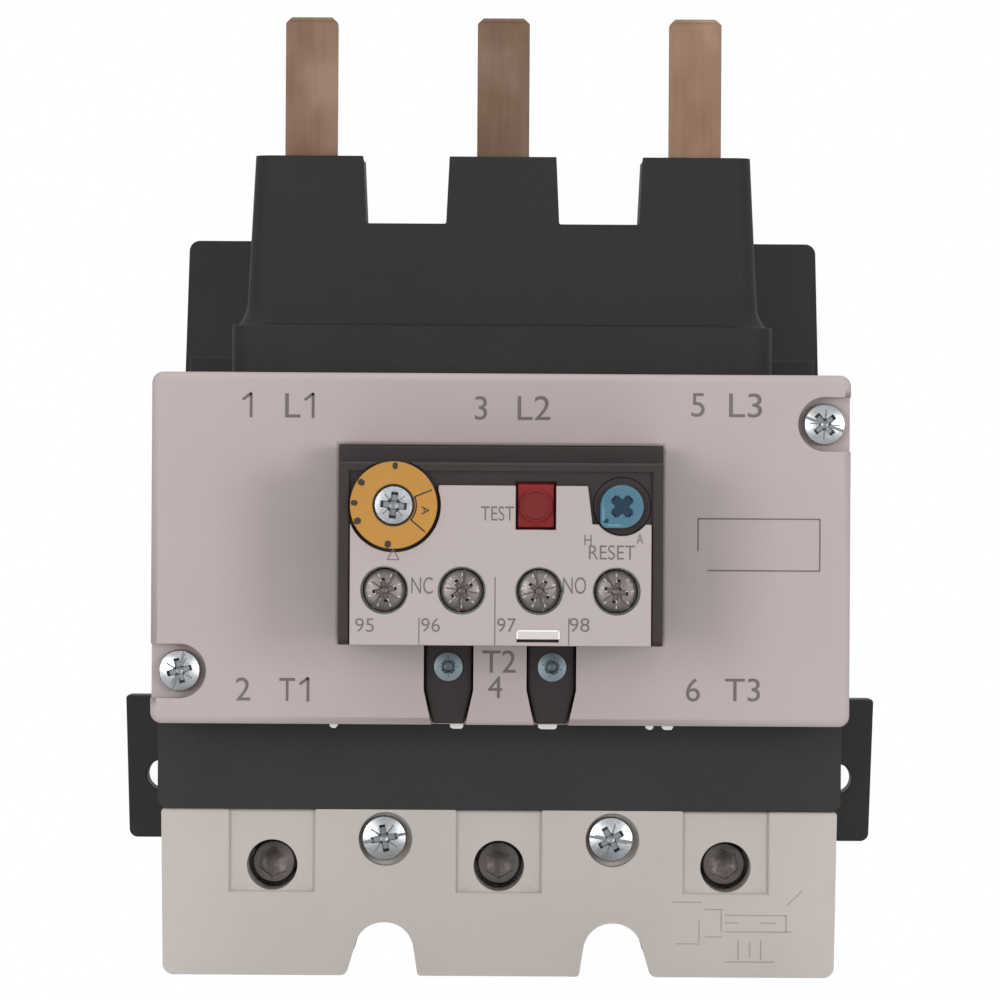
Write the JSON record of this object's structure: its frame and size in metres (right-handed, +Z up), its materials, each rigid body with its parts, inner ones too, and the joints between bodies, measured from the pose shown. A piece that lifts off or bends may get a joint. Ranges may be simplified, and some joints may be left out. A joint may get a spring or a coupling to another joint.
{
  "type": "thermal overload relay",
  "caption": "Three-pole bimetal overload relay with copper prongs, setting dial, test and reset buttons, and screw terminals.",
  "frame": {"origin": "halfway between the two mounting holes, on the flat back plane", "axes": "+X to the right seen from the front, +Y into the wall, +Z up along the prongs"},
  "size_m": [0.1164, 0.1186, 0.1401],
  "materials": {
    "black_plastic": "moulded, satin",
    "cover_gray": "moulded, fine grain",
    "shroud_gray": "moulded, fine grain",
    "head_black": "moulded, satin",
    "label_gray": "smooth",
    "copper": "rolled, dull",
    "resistance_alloy": "drawn",
    "bimetal": "rolled",
    "zinc_steel": "zinc plated",
    "dark_steel": "blackened",
    "spring_steel": "drawn",
    "contact_brass": "rolled",
    "white_plastic": "moulded",
    "orange_plastic": "moulded",
    "red_plastic": "moulded",
    "blue_plastic": "moulded"
  },
  "bodies": {
    "relay": {"base_housing": "black_plastic", "main_housing": "black_plastic", "front_cover": "cover_gray", "terminal_shroud": "shroud_gray", "prong_shroud": "black_plastic", "head_housing": "head_black", "label_plate": "label_gray", "rocker_pin": "zinc_steel", "prong_bar_1": "copper", "prong_bar_2": "copper", "prong_bar_3": "copper", "heater_1": "resistance_alloy", "heater_2": "resistance_alloy", "heater_3": "resistance_alloy", "output_bar_1": "copper", "output_bar_2": "copper", "output_bar_3": "copper", "contact_95": "contact_brass", "contact_96": "contact_brass", "contact_97": "contact_brass", "contact_98": "contact_brass"},
    "trip_bar": {"trip_slider": "white_plastic"},
    "differential_bar": {"differential_slider": "white_plastic"},
    "differential_lever": {"differential_lever": "white_plastic"},
    "strip_1": {"bimetal_1": "bimetal"},
    "strip_2": {"bimetal_2": "bimetal"},
    "strip_3": {"bimetal_3": "bimetal"},
    "rocker": {"compensation_rocker": "bimetal"},
    "carrier": {"contact_carrier": "white_plastic", "nc_bridge": "contact_brass", "no_bridge": "contact_brass", "carrier_spring": "spring_steel"},
    "dial": {"setting_dial": "orange_plastic", "dial_insert": "zinc_steel"},
    "adjuster": {"adjuster_lever": "white_plastic"},
    "test": {"test_button": "red_plastic", "test_spring": "spring_steel"},
    "reset": {"reset_collar": "head_black", "reset_spring": "spring_steel"},
    "knob": {"reset_knob": "blue_plastic"},
    "terminal_screw_1": {"clamp_screw_1": "dark_steel"},
    "cage_1": {"terminal_cage_1": "zinc_steel"},
    "terminal_screw_2": {"clamp_screw_2": "dark_steel"},
    "cage_2": {"terminal_cage_2": "zinc_steel"},
    "terminal_screw_3": {"clamp_screw_3": "dark_steel"},
    "cage_3": {"terminal_cage_3": "zinc_steel"},
    "saddle_95": {"aux_clamp_95": "zinc_steel"},
    "aux_screw_95": {"aux_screw_95": "zinc_steel"},
    "saddle_96": {"aux_clamp_96": "zinc_steel"},
    "aux_screw_96": {"aux_screw_96": "zinc_steel"},
    "saddle_97": {"aux_clamp_97": "zinc_steel"},
    "aux_screw_97": {"aux_screw_97": "zinc_steel"},
    "saddle_98": {"aux_clamp_98": "zinc_steel"},
    "aux_screw_98": {"aux_screw_98": "zinc_steel"}
  },
  "joints": [
    {"name": "trip_slide", "type": "slide", "parent": "relay", "child": "trip_bar", "axis": [1, 0, 0], "range_m": [0, 0.002], "stiffness_N_per_m": 200},
    {"name": "differential_slide", "type": "slide", "parent": "trip_bar", "child": "differential_bar", "axis": [1, 0, 0], "range_m": [-0.0005, 0]},
    {"name": "differential_lever_turn", "type": "hinge", "parent": "trip_bar", "child": "differential_lever", "pos_m": [-0.01, -0.04, 0.045], "axis": [0, 0, 1], "range_deg": [0, 2.4]},
    {"name": "strip_1_bend", "type": "hinge", "parent": "relay", "child": "strip_1", "pos_m": [-0.028, -0.0395, 0.013], "axis": [0, 1, 0], "range_deg": [0, 3.8]},
    {"name": "strip_2_bend", "type": "hinge", "parent": "relay", "child": "strip_2", "pos_m": [0, -0.0395, 0.013], "axis": [0, 1, 0], "range_deg": [0, 3.8]},
    {"name": "strip_3_bend", "type": "hinge", "parent": "relay", "child": "strip_3", "pos_m": [0.028, -0.0395, 0.013], "axis": [0, 1, 0], "range_deg": [0, 3.8]},
    {"name": "rocker_turn", "type": "hinge", "parent": "relay", "child": "rocker", "pos_m": [-0.0066, -0.075, 0.0405], "axis": [0, 1, 0], "range_deg": [0, 17.5]},
    {"name": "carrier_slide", "type": "slide", "parent": "relay", "child": "carrier", "axis": [0, 0, -1], "range_m": [0, 0.002], "deforming": ["carrier_spring"]},
    {"name": "dial_turn", "type": "hinge", "parent": "relay", "child": "dial", "pos_m": [-0.01487, -0.117, 0.0423], "axis": [0, 1, 0], "range_deg": [0, 180]},
    {"name": "adjuster_turn", "type": "hinge", "parent": "relay", "child": "adjuster", "pos_m": [-0.002, -0.1037, 0.0394], "axis": [0, 1, 0], "range_deg": [-5.5, 0]},
    {"name": "test_press", "type": "slide", "parent": "relay", "child": "test", "axis": [0, 1, 0], "range_m": [0, 0.0025], "stiffness_N_per_m": 400, "deforming": ["test_spring"]},
    {"name": "reset_press", "type": "slide", "parent": "relay", "child": "reset", "axis": [0, 1, 0], "range_m": [0, 0.003], "stiffness_N_per_m": 400, "deforming": ["reset_spring"]},
    {"name": "reset_turn", "type": "hinge", "parent": "reset", "child": "knob", "pos_m": [0.0168, -0.117, 0.0423], "axis": [0, -1, 0], "range_deg": [0, 90]},
    {"name": "cage_1_slide", "type": "slide", "parent": "relay", "child": "cage_1", "axis": [0, -1, 0], "range_m": [0, 0.008]},
    {"name": "terminal_screw_1_turn", "type": "hinge", "parent": "relay", "child": "terminal_screw_1", "pos_m": [-0.0332, -0.05, -0.0105], "axis": [0, 1, 0], "range_deg": [0, 2310]},
    {"name": "cage_2_slide", "type": "slide", "parent": "relay", "child": "cage_2", "axis": [0, -1, 0], "range_m": [0, 0.008]},
    {"name": "terminal_screw_2_turn", "type": "hinge", "parent": "relay", "child": "terminal_screw_2", "pos_m": [0, -0.05, -0.0105], "axis": [0, 1, 0], "range_deg": [0, 2310]},
    {"name": "cage_3_slide", "type": "slide", "parent": "relay", "child": "cage_3", "axis": [0, -1, 0], "range_m": [0, 0.008]},
    {"name": "terminal_screw_3_turn", "type": "hinge", "parent": "relay", "child": "terminal_screw_3", "pos_m": [0.0332, -0.05, -0.0105], "axis": [0, 1, 0], "range_deg": [0, 2310]},
    {"name": "saddle_95_slide", "type": "slide", "parent": "relay", "child": "saddle_95", "axis": [0, 1, 0], "range_m": [0, 0.004]},
    {"name": "aux_screw_95_turn", "type": "hinge", "parent": "saddle_95", "child": "aux_screw_95", "pos_m": [-0.01611, -0.11, 0.0305], "axis": [0, 1, 0], "range_deg": [0, 2060]},
    {"name": "saddle_96_slide", "type": "slide", "parent": "relay", "child": "saddle_96", "axis": [0, 1, 0], "range_m": [0, 0.004]},
    {"name": "aux_screw_96_turn", "type": "hinge", "parent": "saddle_96", "child": "aux_screw_96", "pos_m": [-0.00537, -0.11, 0.0305], "axis": [0, 1, 0], "range_deg": [0, 2060]},
    {"name": "saddle_97_slide", "type": "slide", "parent": "relay", "child": "saddle_97", "axis": [0, 1, 0], "range_m": [0, 0.004]},
    {"name": "aux_screw_97_turn", "type": "hinge", "parent": "saddle_97", "child": "aux_screw_97", "pos_m": [0.00537, -0.11, 0.0305], "axis": [0, 1, 0], "range_deg": [0, 2060]},
    {"name": "saddle_98_slide", "type": "slide", "parent": "relay", "child": "saddle_98", "axis": [0, 1, 0], "range_m": [0, 0.004]},
    {"name": "aux_screw_98_turn", "type": "hinge", "parent": "saddle_98", "child": "aux_screw_98", "pos_m": [0.01611, -0.11, 0.0305], "axis": [0, 1, 0], "range_deg": [0, 2060]}
  ],
  "couplings": [
    {"joint": "differential_lever_turn", "follows": "differential_slide", "rad_per_m": -83.333},
    {"joint": "strip_1_bend", "follows": "trip_slide", "rad_per_m": 32.733},
    {"joint": "strip_2_bend", "follows": "trip_slide", "rad_per_m": 32.733},
    {"joint": "strip_3_bend", "follows": "trip_slide", "rad_per_m": 32.733},
    {"joint": "rocker_turn", "follows": "trip_slide", "rad_per_m": 151.51},
    {"joint": "carrier_slide", "follows": "trip_slide", "ratio": 1},
    {"joint": "adjuster_turn", "follows": "dial_turn", "ratio": -0.02968},
    {"joint": "terminal_screw_1_turn", "follows": "cage_1_slide", "rad_per_m": 5026.5},
    {"joint": "terminal_screw_2_turn", "follows": "cage_2_slide", "rad_per_m": 5026.5},
    {"joint": "terminal_screw_3_turn", "follows": "cage_3_slide", "rad_per_m": 5026.5},
    {"joint": "aux_screw_95_turn", "follows": "saddle_95_slide", "rad_per_m": 8976},
    {"joint": "aux_screw_96_turn", "follows": "saddle_96_slide", "rad_per_m": 8976},
    {"joint": "aux_screw_97_turn", "follows": "saddle_97_slide", "rad_per_m": 8976},
    {"joint": "aux_screw_98_turn", "follows": "saddle_98_slide", "rad_per_m": 8976}
  ]
}
